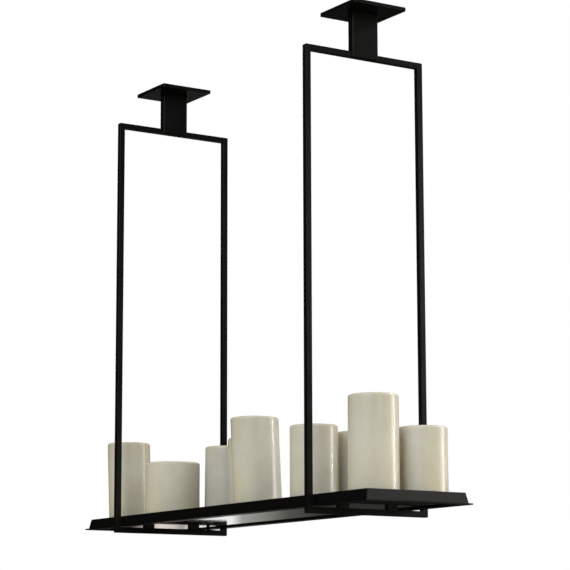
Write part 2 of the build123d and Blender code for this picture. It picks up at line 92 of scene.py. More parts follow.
# Lamps
LAMP_SIDES = 32
LAMP_BASE_HEIGHT = 9.0 * MM
LAMP_BASE_WIDTH = 16.0 * MM
BASE_EDGE = 0.5 * MM
GROOVE_DEPTH = 0.6 * MM
GROOVE_SLOPE = 0.5 * MM
GROOVE_LOW = 3.6 * MM
GROOVE_HIGH = 5.4 * MM
NECK_SHARE = 0.72            # neck's width over the globe's
NECK_FOOT_SHARE = 0.8        # its rounded foot's width over the neck's
NECK_SUNK = 1.0 * MM
NECK_LOW = 0.5 * MM
NECK_HIGH = 2.5 * MM
SHOULDER_STEPS = 6
SHOULDER_STEP = 0.9 * MM
GLOBE_STEPS = 10
GLOBE_END = 86               # degrees at which the globe's arc closes to its pole
PIN_SIDES = 12
PIN_SPACING = 8.0 * MM
PIN_LENGTH = 8.0 * MM
PIN_WIDTH = 1.2 * MM
PIN_TIP_SHARE = 0.6
PIN_TIP_LOW = 0.1 * MM
PIN_TIP_HIGH = 0.6 * MM
PIN_SUNK = 0.5 * MM

# Fastenings
FASTENING_SIDES = 32
THREAD_PITCH = 1.0 * MM
THREAD_DEPTH = 0.45 * MM
NIPPLE_BORE = 7.0 * MM
DECK_SCREW_PITCH = 190.0 * MM
DECK_SCREW_HEAD = 5.6 * MM
DECK_SCREW_SHANK = 3.0 * MM
HEAD_EDGE_WIDTH = 0.1 * MM
HEAD_EDGE_DEPTH = 0.15 * MM
RECESS_WIDTH = 3.4 * MM
RECESS_BLADE = 0.75 * MM
RECESS_DEPTH = 0.9 * MM
HEXAGON = 6
LOCK_NUT_FLATS = 17.0 * MM
LOCK_NUT_PLAY = 0.2 * MM     # bore over the nipple's width
CHAMFER_FACE = 0.98          # flat end face's width over the flats
CHAMFER_REACH = 1.2          # chamfer's reach over the corner's, so that it cuts the whole corner
CHAMFER_FALL = 0.6           # chamfer's fall over the corner's reach
CHAMFER_SIDES = 48
CUT_MARGIN = 0.001 * MM      # a cutting tool stands past the faces it must clear by this much

# ---------------------------------------------------------------- colours and finish of the materials
NOISE_RANGE = (0.3, 0.7)     # most of a noise pattern lies between these
PATCH_RANGE = (0.35, 0.7)    # part of it that makes soft patches
EDGE_WIDTH = 0.4 * MM
COAT_GLOSS = 0.3
COAT_CLOUD = 1.6             # lightening of a coat's clouds over its colour
DUST_TONE = (0.20, 0.19, 0.175)
DUST_ROUGHNESS = 0.5
PLATE_TONES = [(0.3, (0.80, 0.80, 0.79)), (0.7, (0.90, 0.90, 0.885))]
POLISH_STRETCH = (4.0, 700.0, 700.0)        # polishing lines run along the tray
SPANGLE_TONES = [(0.0, (0.50, 0.51, 0.54)), (1.0, (0.66, 0.67, 0.70))]
SPANGLE_SIZE = 4.0 * MM
ZINC_EDGE = (0.80, 0.80, 0.82)
RESIN_TONES = [(0.25, (0.608, 0.603, 0.61)), (0.5, (0.638, 0.637, 0.65)), (0.75, (0.658, 0.660, 0.68))]
RESIN_MILKY = (0.653, 0.657, 0.685)
# Painted shade: the resin is coloured darker and warmer towards the foot, fading out at this height above the
# deck
RESIN_FOOT_PAINTED_SHADE = (0.595, 0.555, 0.46)
PAINTED_FOOT_SHADE_END = DECK_TOP + 110.0 * MM
# Painted shade: the resin is coloured darker towards the rims of the taller shades, between these heights above
# the deck
RESIN_TOP_PAINTED_SHADE = (0.53, 0.53, 0.535)
PAINTED_TOP_SHADE_START = DECK_TOP + 100.0 * MM
PAINTED_TOP_SHADE_END = DECK_TOP + 200.0 * MM
RESIN_DRAWN = (30.0, 30.0, 5.0)             # clouds are drawn out upwards
RESIN_SCATTER = (1.0, 0.82, 0.55)
RESIN_SCATTER_DEPTH = 12.0 * MM
GLAZE_TONES = [(0.3, (0.76, 0.745, 0.70)), (0.7, (0.84, 0.83, 0.80))]
GLAZE_FLECK = (0.58, 0.54, 0.47)
GLAZE_FLECK_SIZE = 0.6 * MM
FROST_TONES = [(0.3, (0.90, 0.90, 0.88)), (0.7, (0.97, 0.97, 0.95))]
MOULD_SHADE = 0.9            # darker patches of moulded plastic over its colour
FLOOR_TONES = [(0.3, (0.60, 0.66, 0.90)), (0.7, (0.62, 0.68, 0.92))]
FLOOR_GLOW = (0.85, 0.90, 1.0, 1.0)
FLOOR_GLOW_STRENGTH = 0.33

# ---------------------------------------------------------------- camera and studio
# Camera: solved from the straight edges of both hoops
CAMERA_PLACE = (4.0297, -2.5269, -1.3410)
CAMERA_YAW = 57.299
CAMERA_PITCH = 9.691
CAMERA_ROLL = -0.152
CAMERA_LENS = 137.36
CAMERA_REACH = 200.0

FLOOR_LEVEL = -2.7
FLOOR_RADIUS = 12.0
FLOOR_SIDES = 96
FLOOR_FADE_START = FLOOR_RADIUS * 0.5
FLOOR_FADE_END = FLOOR_RADIUS * 0.98

# Soft boxes: each faces its target from a direction; the size is (width, height)
PENDANT_MIDDLE = (0.0, 0.0, -0.75)
RIGHT_SHADES = (0.46, 0.0, -0.88)
END_WALL = (0.57, 0.0, -1.0)
BARE_SPREAD = math.pi
GRID_SPREAD = math.radians(36)
STUDIO_LIGHTS = {
    "front_box": dict(
        direction=(0.42, -0.78, 0.42), distance=4.5, size=(2.8, 2.6), power=93,
        colour=(0.715, 0.86, 1.0), target=PENDANT_MIDDLE, spread=BARE_SPREAD),
    "right_box": dict(
        direction=(0.93, -0.12, 0.25), distance=4.5, size=(1.6, 1.6), power=15,
        colour=(0.92, 0.96, 1.0), target=PENDANT_MIDDLE, spread=BARE_SPREAD),
    "side_box": dict(
        direction=(0.70, 0.59, 0.40), distance=2.6, size=(0.9, 0.9), power=0.14,
        colour=(1.0, 0.99, 0.96), target=END_WALL, spread=GRID_SPREAD),
    "back_box": dict(
        direction=(0.45, 0.85, 0.10), distance=2.6, size=(2.4, 1.4), power=1.4,
        colour=(1.0, 0.99, 0.95), target=RIGHT_SHADES, spread=GRID_SPREAD),
    "strip_box": dict(
        direction=(0.353, 0.935, 0.06), distance=2.4, size=(0.12, 1.8), power=0.64,
        colour=(1.0, 1.0, 0.98), target=RIGHT_SHADES, spread=GRID_SPREAD),
    "rim_box": dict(
        direction=(0.28, 0.77, 0.57), distance=2.6, size=(1.2, 1.2), power=1.8,
        colour=(1.0, 0.985, 0.94), target=RIGHT_SHADES, spread=GRID_SPREAD),
}

# World: an even fill for matt surfaces, and for gloss a dark room with one bright wall behind the tray
WHITE = (1.0, 1.0, 1.0, 1.0)
FILL_COLOUR = (1.0, 0.85, 0.45, 1.0)
FILL_STRENGTH = 0.60
WALL_DIRECTION = (0.10, 0.995, 0.0)
WALL_DARK = 0.02
WALL_BRIGHT = 0.6
WALL_START = 0.58            # cosine from the wall's direction at which it begins
WALL_FULL = 0.95             # and at which it is full

# Just below the horizon the room has light and dark patches, which the plate under the tray mirrors
VIEW_RIGHT = (math.cos(math.radians(CAMERA_YAW)), math.sin(math.radians(CAMERA_YAW)), 0.0)
PATCHES_LEFT = -0.08         # cosines from the direction to the right of the photographed view
PATCHES_RIGHT = 0.04
PATCH_TONES = [(0.08, (0.03, 0.028, 0.025)), (0.15, (0.50, 0.44, 0.40)), (0.19, (0.78, 0.70, 0.65)),
               (0.24, (0.62, 0.56, 0.52)), (0.275, (0.34, 0.32, 0.30)), (0.31, (0.85, 0.84, 0.83)),
               (0.46, (0.88, 0.88, 0.87)), (0.50, (0.34, 0.34, 0.32)), (0.565, (0.26, 0.26, 0.24)),
               (0.67, (0.09, 0.09, 0.08)), (0.82, (0.03, 0.03, 0.028))]
PATCHES_LOW = -0.25          # sines of their height
PATCHES_HIGH = 0.05
PATCH_BAND = [(0.30, (0.0, 0.0, 0.0)), (0.45, (1.0, 1.0, 1.0)), (0.75, (1.0, 1.0, 1.0)), (0.92, (0.0, 0.0, 0.0))]


# ---------------------------------------------------------------- node helpers
def feed(tree, target, inputs):
    """Link or set a node's inputs, by name or number."""
    for key, value in inputs.items():
        if isinstance(value, bpy.types.NodeSocket):
            tree.links.new(value, target.inputs[key])
        else:
            target.inputs[key].default_value = value


def node(tree, kind, inputs=None, **settings):
    """Add a node, set its properties, then link or set its inputs."""
    made = tree.nodes.new(kind)
    for key, value in settings.items():
        setattr(made, key, value)
    feed(tree, made, inputs or {})
    return made


def new_group(name, kind, takes, gives):
    """A node group with named sockets, given as (name, type, default) and (name, type)."""
    group = bpy.data.node_groups.new(name, kind)
    for label, socket_type, default in takes:
        socket = group.interface.new_socket(name=label, in_out="INPUT", socket_type=socket_type)
        if default is not None:
            socket.default_value = default
    for label, socket_type in gives:
        group.interface.new_socket(name=label, in_out="OUTPUT", socket_type=socket_type)
    return group, group.nodes.new("NodeGroupInput").outputs, group.nodes.new("NodeGroupOutput").inputs


def opaque(colour):
    """A colour with full opacity; a socket stays as it is."""
    return colour if isinstance(colour, bpy.types.NodeSocket) else (*colour, 1.0)


def ramp(tree, factor, stops):
    """Colours along a factor, from stops of (place, colour)."""
    made = node(tree, "ShaderNodeValToRGB", {"Fac": factor})
    elements = made.color_ramp.elements
    while len(elements) < len(stops):
        elements.new(0.5)
    for element, (place, colour) in zip(elements, stops):
        element.position = place
        element.color = opaque(colour)
    return made.outputs["Color"]


def span(tree, value, low, high, start=0.0, end=1.0):
    """Map start..end of a value to low..high, clamped."""
    made = node(tree, "ShaderNodeMapRange", {
        "Value": value, "From Min": start, "From Max": end, "To Min": low, "To Max": high})
    return made.outputs["Result"]


def blend_colour(tree, factor, first, second):
    """Mix two colours by a factor."""
    made = node(tree, "ShaderNodeMix", {0: factor, 6: opaque(first), 7: opaque(second)}, data_type="RGBA")
    return made.outputs[2]


def math_node(tree, operation, first, second):
    """One arithmetic step on two values."""
    return node(tree, "ShaderNodeMath", {0: first, 1: second}, operation=operation).outputs[0]


def toward(tree, direction, axis):
    """Cosine between two directions."""
    made = node(tree, "ShaderNodeVectorMath", {0: direction, 1: axis}, operation="DOT_PRODUCT")
    return made.outputs["Value"]


def clouds(tree, place, scale, detail, roughness=0.5, distortion=0.0):
    """A noise pattern, around 0.5."""
    made = node(tree, "ShaderNodeTexNoise", {
        "Vector": place, "Scale": scale, "Detail": detail, "Roughness": roughness, "Distortion": distortion})
    return made.outputs["Fac"]


def stretched(tree, place, scale):
    """The place scaled by a different number along each axis."""
    return node(tree, "ShaderNodeMapping", {"Vector": place, "Scale": scale}).outputs["Vector"]


def cells(tree, place, scale):
    """Distance to the nearest of many scattered points."""
    made = node(tree, "ShaderNodeTexVoronoi", {"Vector": place, "Scale": scale, "Randomness": 1.0})
    return made.outputs["Distance"]


def bumped(tree, height, strength, distance, normal=None):
    """A normal bumped by a height pattern, on top of another normal if one is given."""
    under = {} if normal is None else {"Normal": normal}
    made = node(tree, "ShaderNodeBump", {"Strength": strength, "Distance": distance, "Height": height, **under})
    return made.outputs["Normal"]


# ---------------------------------------------------------------- shared effects
def make_coat_grain():
    """Fine orange peel and broad clouding of a sprayed, plated or moulded surface."""
    group, given, out = new_group(
        "coat_grain", "ShaderNodeTree",
        [("Place", "NodeSocketVector", None), ("Grain per metre", "NodeSocketFloat", 900.0),
         ("Clouds per metre", "NodeSocketFloat", 12.0)],
        [("Grain", "NodeSocketFloat"), ("Cloud", "NodeSocketFloat")])
    group.links.new(clouds(group, given["Place"], given["Grain per metre"], 2.0), out["Grain"])
    group.links.new(clouds(group, given["Place"], given["Clouds per metre"], 4.0, 0.6), out["Cloud"])
    return group


def make_edge_find():
    """Rounded normals along the edges, and a mask of those edges."""
    group, given, out = new_group(
        "edge_find", "ShaderNodeTree",
        [("Edge width", "NodeSocketFloat", EDGE_WIDTH), ("Gain", "NodeSocketFloat", 6.0)],
        [("Edge", "NodeSocketFloat"), ("Normal", "NodeSocketVector")])
    rounded = node(group, "ShaderNodeBevel", {"Radius": given["Edge width"]}, samples=8).outputs["Normal"]
    flat = node(group, "ShaderNodeNewGeometry").outputs["Normal"]
    bend = math_node(group, "SUBTRACT", 1.0, toward(group, rounded, flat))
    strong = node(group, "ShaderNodeMath", {0: bend, 1: given["Gain"]}, operation="MULTIPLY", use_clamp=True)
    group.links.new(strong.outputs[0], out["Edge"])
    group.links.new(rounded, out["Normal"])
    return group


def make_settled_dust():
    """A thin uneven film of dust on faces that look up."""
    group, given, out = new_group(
        "settled_dust", "ShaderNodeTree",
        [("Place", "NodeSocketVector", None), ("Amount", "NodeSocketFloat", 0.3)],
        [("Dust", "NodeSocketFloat")])
    facing = node(group, "ShaderNodeSeparateXYZ", {0: node(group, "ShaderNodeNewGeometry").outputs["Normal"]})
    upward = span(group, facing.outputs["Z"], 0.0, 1.0, 0.6, 1.0)
    patches = span(group, clouds(group, given["Place"], 35.0, 6.0, 0.7), 0.2, 1.0, 0.35, 0.75)
    film = math_node(group, "MULTIPLY", upward, patches)
    group.links.new(math_node(group, "MULTIPLY", film, given["Amount"]), out["Dust"])
    return group


COAT_GRAIN = make_coat_grain()
EDGE_FIND = make_edge_find()
SETTLED_DUST = make_settled_dust()


def use(tree, group, **inputs):
    """Place a shared effect in a material; underscores in input names stand for spaces."""
    made = tree.nodes.new("ShaderNodeGroup")
    made.node_tree = group
    feed(tree, made, {key.replace("_", " "): value for key, value in inputs.items()})
    return made.outputs


# ---------------------------------------------------------------- materials
def new_material(name):
    """A node material: the material, its tree, its shader and the place on the piece."""
    material = bpy.data.materials.new(name)
    material.use_nodes = True
    tree = material.node_tree
    place = node(tree, "ShaderNodeTexCoord").outputs["Object"]
    return material, tree, tree.nodes["Principled BSDF"], place


def coated_metal(name, colour, edge_colour, roughness, bump, dust=0.25, grain=900.0):
    """Sprayed satin coat over metal, a little thinner and lighter along its edges."""
    material, tree, shader, place = new_material(name)
    coat = use(tree, COAT_GRAIN, Place=place, Grain_per_metre=grain)
    edge = use(tree, EDGE_FIND, Edge_width=EDGE_WIDTH)
    film = use(tree, SETTLED_DUST, Place=place, Amount=dust)
    worn = blend_colour(tree, edge["Edge"], colour, edge_colour)
    clouded = blend_colour(tree, span(tree, coat["Cloud"], 0.0, 0.5, *PATCH_RANGE), worn,
                           tuple(part * COAT_CLOUD for part in colour))
    uneven = span(tree, coat["Cloud"], roughness - 0.05, roughness + 0.07, *NOISE_RANGE)
    feed(tree, shader, {
        "Base Color": blend_colour(tree, film["Dust"], clouded, DUST_TONE),
        "Roughness": math_node(tree, "ADD", uneven, math_node(tree, "MULTIPLY", film["Dust"], DUST_ROUGHNESS)),
        "Specular IOR Level": COAT_GLOSS,
        "Normal": bumped(tree, coat["Grain"], bump, 0.2 * MM, edge["Normal"])})
    return material


def polished_plate():
    """Mirror-polished sheet with faint polishing lines along the tray and a few smears."""
    material, tree, shader, place = new_material("polished_plate")
    lines = clouds(tree, stretched(tree, place, POLISH_STRETCH), 1.0, 5.0, 0.7)
    smears = clouds(tree, place, 9.0, 5.0, 0.65, 1.2)
    rolled = bumped(tree, clouds(tree, place, 14.0, 1.0), 0.02, 2.0 * MM)
    brushed = span(tree, lines, 0.02, 0.07, *NOISE_RANGE)
    smeared = span(tree, smears, 0.0, 0.05, 0.5, 0.75)
    feed(tree, shader, {
        "Base Color": ramp(tree, smears, PLATE_TONES),
        "Metallic": 1.0,
        "Roughness": math_node(tree, "ADD", brushed, smeared),
        "Normal": bumped(tree, lines, 0.03, 0.1 * MM, rolled)})
    return material


def plated_steel():
    """Zinc-plated steel with its faint spangle."""
    material, tree, shader, place = new_material("zinc_plated_steel")
    coat = use(tree, COAT_GRAIN, Place=place, Grain_per_metre=1500.0, Clouds_per_metre=40.0)
    edge = use(tree, EDGE_FIND, Edge_width=EDGE_WIDTH)
    spangle = ramp(tree, span(tree, cells(tree, place, 260.0), 0.0, 1.0, 0.0, SPANGLE_SIZE), SPANGLE_TONES)
    feed(tree, shader, {
        "Base Color": blend_colour(tree, edge["Edge"], spangle, ZINC_EDGE),
        "Metallic": 1.0,
        "Roughness": span(tree, coat["Cloud"], 0.28, 0.48, *NOISE_RANGE),
        "Normal": bumped(tree, coat["Grain"], 0.15, 0.1 * MM, edge["Normal"])})
    return material


def poured_resin():
    """Ivory resin, satin and slightly translucent, clouded and mottled as it set, with painted shade: darker and
    warmer towards the foot, and darker towards the rims of the tall shades.
    """
    material, tree, shader, place = new_material("ivory_resin")
    mottle = clouds(tree, place, 55.0, 3.0)
    cloud = clouds(tree, stretched(tree, place, RESIN_DRAWN), 1.0, 3.0)
    grain = clouds(tree, place, 520.0, 2.0, 0.6)
    clouded = span(tree, cloud, 0.0, 0.5, *PATCH_RANGE)
    body = blend_colour(tree, clouded, ramp(tree, mottle, RESIN_TONES), RESIN_MILKY)
    height = node(tree, "ShaderNodeSeparateXYZ", {0: place}).outputs["Z"]
    # painted shade: darker and warmer near the foot
    painted_foot_shade = span(tree, height, 0.45, 0.0, DECK_TOP, PAINTED_FOOT_SHADE_END)
    # painted shade: darker towards the rim of a tall shade
    painted_top_shade = span(tree, height, 0.0, 0.75, PAINTED_TOP_SHADE_START, PAINTED_TOP_SHADE_END)
    soft = bumped(tree, mottle, 0.008, 0.3 * MM)
    feed(tree, shader, {
        "Base Color": blend_colour(tree, painted_top_shade, blend_colour(tree, painted_foot_shade, body, RESIN_FOOT_PAINTED_SHADE), RESIN_TOP_PAINTED_SHADE),
        "Subsurface Weight": 0.75,
        "Subsurface Radius": RESIN_SCATTER,
        "Subsurface Scale": RESIN_SCATTER_DEPTH,
        "Roughness": span(tree, mottle, 0.19, 0.25, *NOISE_RANGE),
        "Normal": bumped(tree, grain, 0.03, 0.1 * MM, soft)})
    return material


def glazed_ceramic():
    """White ceramic under a thin glaze, with a few darker flecks."""
    material, tree, shader, place = new_material("glazed_ceramic")
    coat = use(tree, COAT_GRAIN, Place=place, Grain_per_metre=700.0, Clouds_per_metre=60.0)
    fleck = span(tree, cells(tree, place, 420.0), 0.35, 0.0, 0.0, GLAZE_FLECK_SIZE)
    feed(tree, shader, {
        "Base Color": blend_colour(tree, fleck, ramp(tree, coat["Cloud"], GLAZE_TONES), GLAZE_FLECK),
        "Roughness": span(tree, coat["Cloud"], 0.18, 0.32, *NOISE_RANGE),
        "Coat Weight": 0.3,
        "Normal": bumped(tree, coat["Grain"], 0.1, 0.2 * MM)})
    return material


def frosted_glass():
    """Acid-frosted glass of a capsule lamp."""
    material, tree, shader, place = new_material("frosted_glass")
    coat = use(tree, COAT_GRAIN, Place=place, Grain_per_metre=2500.0, Clouds_per_metre=90.0)
    feed(tree, shader, {
        "Base Color": ramp(tree, coat["Cloud"], FROST_TONES),
        "Roughness": span(tree, coat["Cloud"], 0.35, 0.5, *NOISE_RANGE),
        "Transmission Weight": 0.35,
        "IOR": 1.46,
        "Normal": bumped(tree, coat["Grain"], 0.25, 0.1 * MM)})
    return material


def moulded(name, colour, roughness):
    """Moulded plastic or rubber sheath with a fine tool texture."""
    material, tree, shader, place = new_material(name)
    coat = use(tree, COAT_GRAIN, Place=place, Grain_per_metre=600.0, Clouds_per_metre=30.0)
    darker = tuple(part * MOULD_SHADE for part in colour)
    feed(tree, shader, {
        "Base Color": blend_colour(tree, span(tree, coat["Cloud"], 0.0, 1.0, *NOISE_RANGE), darker, colour),
        "Roughness": span(tree, coat["Grain"], roughness - 0.05, roughness + 0.05, *NOISE_RANGE),
        "Normal": bumped(tree, coat["Grain"], 0.15, 0.2 * MM)})
    return material


SATIN_BLACK = coated_metal(
    "satin_black_coat", (0.0026, 0.0025, 0.0024), (0.008, 0.0076, 0.0072), roughness=0.30, bump=0.25)
HEAT_BLACK = coated_metal(
    "heatproof_black_coat", (0.010, 0.010, 0.010), (0.05, 0.048, 0.045), roughness=0.5, bump=0.35)
OXIDE_BLACK = coated_metal(
    "black_oxide", (0.008, 0.008, 0.009), (0.05, 0.05, 0.05), roughness=0.36, bump=0.15, dust=0.1, grain=1800.0)
IVORY_RESIN = poured_resin()
ZINC_STEEL = plated_steel()
CERAMIC = glazed_ceramic()
FROSTED_GLASS = frosted_glass()

FINISHES = {
    "black_metal": SATIN_BLACK,
    "bright_plate": polished_plate(),
    "zinc_steel": ZINC_STEEL,
    "black_screws": OXIDE_BLACK,
    "gallery_metal": HEAT_BLACK,
    "holder_ceramic": CERAMIC,
    "lamp_glass": FROSTED_GLASS,
    "ivory_shade": IVORY_RESIN,
    "terminal_plastic": moulded("terminal_plastic", (0.78, 0.77, 0.73), 0.45),
    "cable_sheath": moulded("black_cable_sheath", (0.02, 0.02, 0.02), 0.5),
    "lead_sheath": moulded("white_silicone_sheath", (0.72, 0.71, 0.68), 0.55),
}
SLOT_OF = {part["node"]: part["material_slot"] for part in frame["record"]["subparts"]}
for name, cad_object in frame["nodes"].items():
    cad_object.data.materials.clear()
    cad_object.data.materials.append(FINISHES[SLOT_OF[name]])


# ---------------------------------------------------------------- mesh helpers
def placed_in_scene(name, mesh):
    """A new object that shows a mesh, at the origin."""
    piece = bpy.data.objects.new(name, mesh)
    bpy.context.collection.objects.link(piece)
    return piece


def mesh_object(name, made, material, smooth=True):
    """Turn a bmesh into an object with outward faces."""
    bmesh.ops.recalc_face_normals(made, faces=made.faces)
    mesh = bpy.data.meshes.new(name)
    made.to_mesh(mesh)
    made.free()
    mesh.polygons.foreach_set("use_smooth", [smooth] * len(mesh.polygons))
    if material:
        mesh.materials.append(material)
    return placed_in_scene(name, mesh)


def lathe(made, outline, place, sides, shift=None):
    """Turn an outline of (radius, height) points round a vertical line through a place.

    An outline that starts and ends on the axis gets poles there; any other is closed on itself.
    shift moves each point: it takes the angle, radius and height and gives (dx, dy, dz).
    """
    rings = []
    for radius, height in outline:
        ring = []
        count = 1 if radius == 0 else sides
        for k in range(count):
            angle = 2 * math.pi * k / sides
            point = Vector((radius * math.cos(angle), radius * math.sin(angle), height))
            if shift:
                point += Vector(shift(angle, radius, height))
            ring.append(made.verts.new(point + Vector(place)))
        rings.append(ring)
    pairs = list(zip(rings, rings[1:]))
    if len(rings[0]) > 1:
        pairs.append((rings[-1], rings[0]))
    for first, second in pairs:
        for k in range(sides):
            corners = [first[k % len(first)], first[(k + 1) % sides % len(first)],
                       second[(k + 1) % sides % len(second)], second[k % len(second)]]
            made.faces.new(list(dict.fromkeys(corners)))


def turned(name, outline, sides):
    """A bare blank: one outline turned round the z axis, with hard edges."""
    made = bmesh.new()
    lathe(made, outline, (0, 0, 0), sides)
    return mesh_object(name, made, None, smooth=False)


def arc(centre, radius, start, end, steps):
    """Points of (radius, height) round an arc, angles in degrees."""
    points = []
    for k in range(steps + 1):
        angle = math.radians(start + (end - start) * k / steps)
        points.append((centre[0] + radius * math.cos(angle), centre[1] + radius * math.sin(angle)))
    return points


def finished(piece):
    """The piece as a plain mesh object, with its modifiers applied and gone."""
    evaluated = piece.evaluated_get(bpy.context.evaluated_depsgraph_get())
    mesh = bpy.data.meshes.new_from_object(evaluated)
    name = piece.name
    bpy.data.objects.remove(piece)
    mesh.name = name
    return placed_in_scene(name, mesh)


# ---------------------------------------------------------------- shades
def shade_outline(radius, height):
    """Closed outline of a pillar shade: foot, wall, soft lip, bore and holed floor."""
    inner = radius - SHADE_WALL
    wall_top = height - LIP_ROUND
    bore_top = height - LIP_INNER_ROUND
    outline = arc((radius - FOOT_ROUND, FOOT_ROUND), FOOT_ROUND, -90, 0, FOOT_STEPS)
    for k in range(1, SHADE_RINGS):
        outline.append((radius, FOOT_ROUND + (wall_top - FOOT_ROUND) * k / SHADE_RINGS))
    outline += arc((radius - LIP_ROUND, wall_top), LIP_ROUND, 0, 90, LIP_STEPS)
    outline += arc((inner + LIP_INNER_ROUND, bore_top), LIP_INNER_ROUND, 90, 180, LIP_INNER_STEPS)
    for k in range(1, SHADE_RINGS):
        outline.append((inner, bore_top - (bore_top - SHADE_FLOOR) * k / SHADE_RINGS))
    outline.append((inner, SHADE_FLOOR + FOOT_ROUND))
    outline.append((inner - FOOT_ROUND, SHADE_FLOOR))
    outline.append((SHADE_HOLE / 2, SHADE_FLOOR))
    outline.append((SHADE_HOLE / 2, 0.0))
    return outline


def make_shade(name):
    """One hand-poured shade: a slightly uneven wall and rim, and here and there a lean."""
    low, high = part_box(name)
    middle = (low + high) / 2
    radius = (high.x - low.x) / 2
    height = high.z - low.z
    lean_x, lean_y = LEAN.get(name, (0.0, 0.0))
    taper = TAPER.get(name, 0.0)
    number = int(name.removeprefix("shade_"))

    def uneven(angle, r, z):
        around = Vector((math.cos(angle) * WAVE_ROUND, math.sin(angle) * WAVE_ROUND,
                         z * WAVE_UP + WAVE_APART * number))
        settled = min(1.0, z / SETTLED_HEIGHT)
        wave = -abs(HAND_WAVE * noise.noise(around)) * settled
        rise = -abs(RIM_WAVE * noise.noise(around + Vector((0, 0, RIM_APART)))) * (z / height) ** RIM_POWER
        inward = wave - taper * r * z / height
        return (inward * math.cos(angle) + lean_x * z * settled,
                inward * math.sin(angle) + lean_y * z * settled, rise)

    made = bmesh.new()
    lathe(made, shade_outline(radius, height), (middle.x, middle.y, low.z), SHADE_SIDES, uneven)
    shade = mesh_object(f"{name}_poured", made, IVORY_RESIN)
    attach(shade, name)
    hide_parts(name)


for name in SHADES:
    make_shade(name)


# ---------------------------------------------------------------- capsule lamps
def envelope_outline(globe, reach):
    """A lamp's glass from its sunk foot over neck, shoulder and globe to its top; globe is a radius."""
    neck = globe * NECK_SHARE
    outline = [(0.0, -NECK_SUNK), (neck * NECK_FOOT_SHARE, -NECK_SUNK), (neck, NECK_LOW), (neck, NECK_HIGH)]
    for k in range(1, SHOULDER_STEPS + 1):
        swell = (1 - math.cos(math.pi * k / SHOULDER_STEPS)) / 2
        outline.append((neck + (globe - neck) * swell, NECK_HIGH + SHOULDER_STEP * k))
    outline += arc((0.0, reach - globe), globe, 0, GLOBE_END, GLOBE_STEPS)
    outline.append((0.0, reach))
    return outline


def base_outline():
    """A lamp's ceramic base, with eased edges and a groove round it."""
    wide = LAMP_BASE_WIDTH / 2
    top = LAMP_BASE_HEIGHT
    return [(0.0, 0.0), (wide - BASE_EDGE, 0.0), (wide, BASE_EDGE), (wide, GROOVE_LOW),
            (wide - GROOVE_DEPTH, GROOVE_LOW + GROOVE_SLOPE), (wide - GROOVE_DEPTH, GROOVE_HIGH - GROOVE_SLOPE),
            (wide, GROOVE_HIGH), (wide, top - BASE_EDGE), (wide - BASE_EDGE, top), (0.0, top)]


def pin_outline():
    """A lamp's wire pin, blunt at its tip, from there up into the base."""
    wide = PIN_WIDTH / 2
    return [(0.0, -PIN_LENGTH), (wide * PIN_TIP_SHARE, -PIN_LENGTH + PIN_TIP_LOW),
            (wide, -PIN_LENGTH + PIN_TIP_HIGH), (wide, PIN_SUNK), (0.0, PIN_SUNK)]


def make_lamp(name):
    """A capsule lamp: frosted envelope, ceramic base and two wire pins."""
    low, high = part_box(name)
    middle = (low + high) / 2
    foot = low.z + PIN_LENGTH
    seat = foot + LAMP_BASE_HEIGHT

    made = bmesh.new()
    envelope = envelope_outline((high.x - low.x) / 2, high.z - seat)
    lathe(made, envelope, (middle.x, middle.y, seat), LAMP_SIDES)
    glass = mesh_object(f"{name}_envelope", made, FROSTED_GLASS)

    made = bmesh.new()
    lathe(made, base_outline(), (middle.x, middle.y, foot), LAMP_SIDES)
    ceramic = mesh_object(f"{name}_base", made, CERAMIC, smooth=False)

    made = bmesh.new()
    for side in (-1, 1):
        lathe(made, pin_outline(), (middle.x + side * PIN_SPACING / 2, middle.y, foot), PIN_SIDES)
    pins = mesh_object(f"{name}_pins", made, ZINC_STEEL)

    for piece, finish in ((glass, "lamp_glass"), (ceramic, "holder_ceramic"), (pins, "zinc_steel")):
        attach(piece, name)
    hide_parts(name)


for name in LAMPS:
    make_lamp(name)


# ---------------------------------------------------------------- repeated fastenings
def make_repeat_tree():
    """Geometry nodes that put one part on every point, each turned by a random angle."""
    tree, given, out = new_group(
        "part_on_points", "GeometryNodeTree",
        [("Points", "NodeSocketGeometry", None), ("Part", "NodeSocketObject", None),
         ("Finish", "NodeSocketMaterial", None), ("Largest turn", "NodeSocketFloat", 0.0),
         ("Seed", "NodeSocketInt", 1)],
        [("Result", "NodeSocketGeometry")])
    part = node(tree, "GeometryNodeObjectInfo", {"Object": given["Part"]})
    turn = node(tree, "FunctionNodeRandomValue", {
        "Max": given["Largest turn"], "Seed": given["Seed"]}, data_type="FLOAT")
    angle = node(tree, "ShaderNodeCombineXYZ", {"Z": turn.outputs[1]})
    rotation = node(tree, "FunctionNodeEulerToRotation", {0: angle.outputs[0]})
    placed = node(tree, "GeometryNodeInstanceOnPoints", {
        "Points": given["Points"], "Instance": part.outputs["Geometry"], "Rotation": rotation.outputs[0]})
    real = node(tree, "GeometryNodeRealizeInstances", {0: placed.outputs[0]})
    coated = node(tree, "GeometryNodeSetMaterial", {"Geometry": real.outputs[0], "Material": given["Finish"]})
    tree.links.new(coated.outputs[0], out["Result"])
    return tree


REPEAT = make_repeat_tree()


def repeated(name, part, points, finish, turn=0.0, seed=1):
    """Copies of a part at points, as one plain mesh; the part itself is used up."""
    mesh = bpy.data.meshes.new(name)
    mesh.from_pydata(points, [], [])
    holder = placed_in_scene(name, mesh)
    modifier = holder.modifiers.new("repeat", "NODES")
    modifier.node_group = REPEAT
    sockets = {item.name: item.identifier for item in REPEAT.interface.items_tree if item.in_out == "INPUT"}
    modifier[sockets["Part"]] = part
    modifier[sockets["Finish"]] = finish
    modifier[sockets["Largest turn"]] = turn
    modifier[sockets["Seed"]] = seed
    plain = finished(holder)
    bpy.data.objects.remove(part)
    return plain


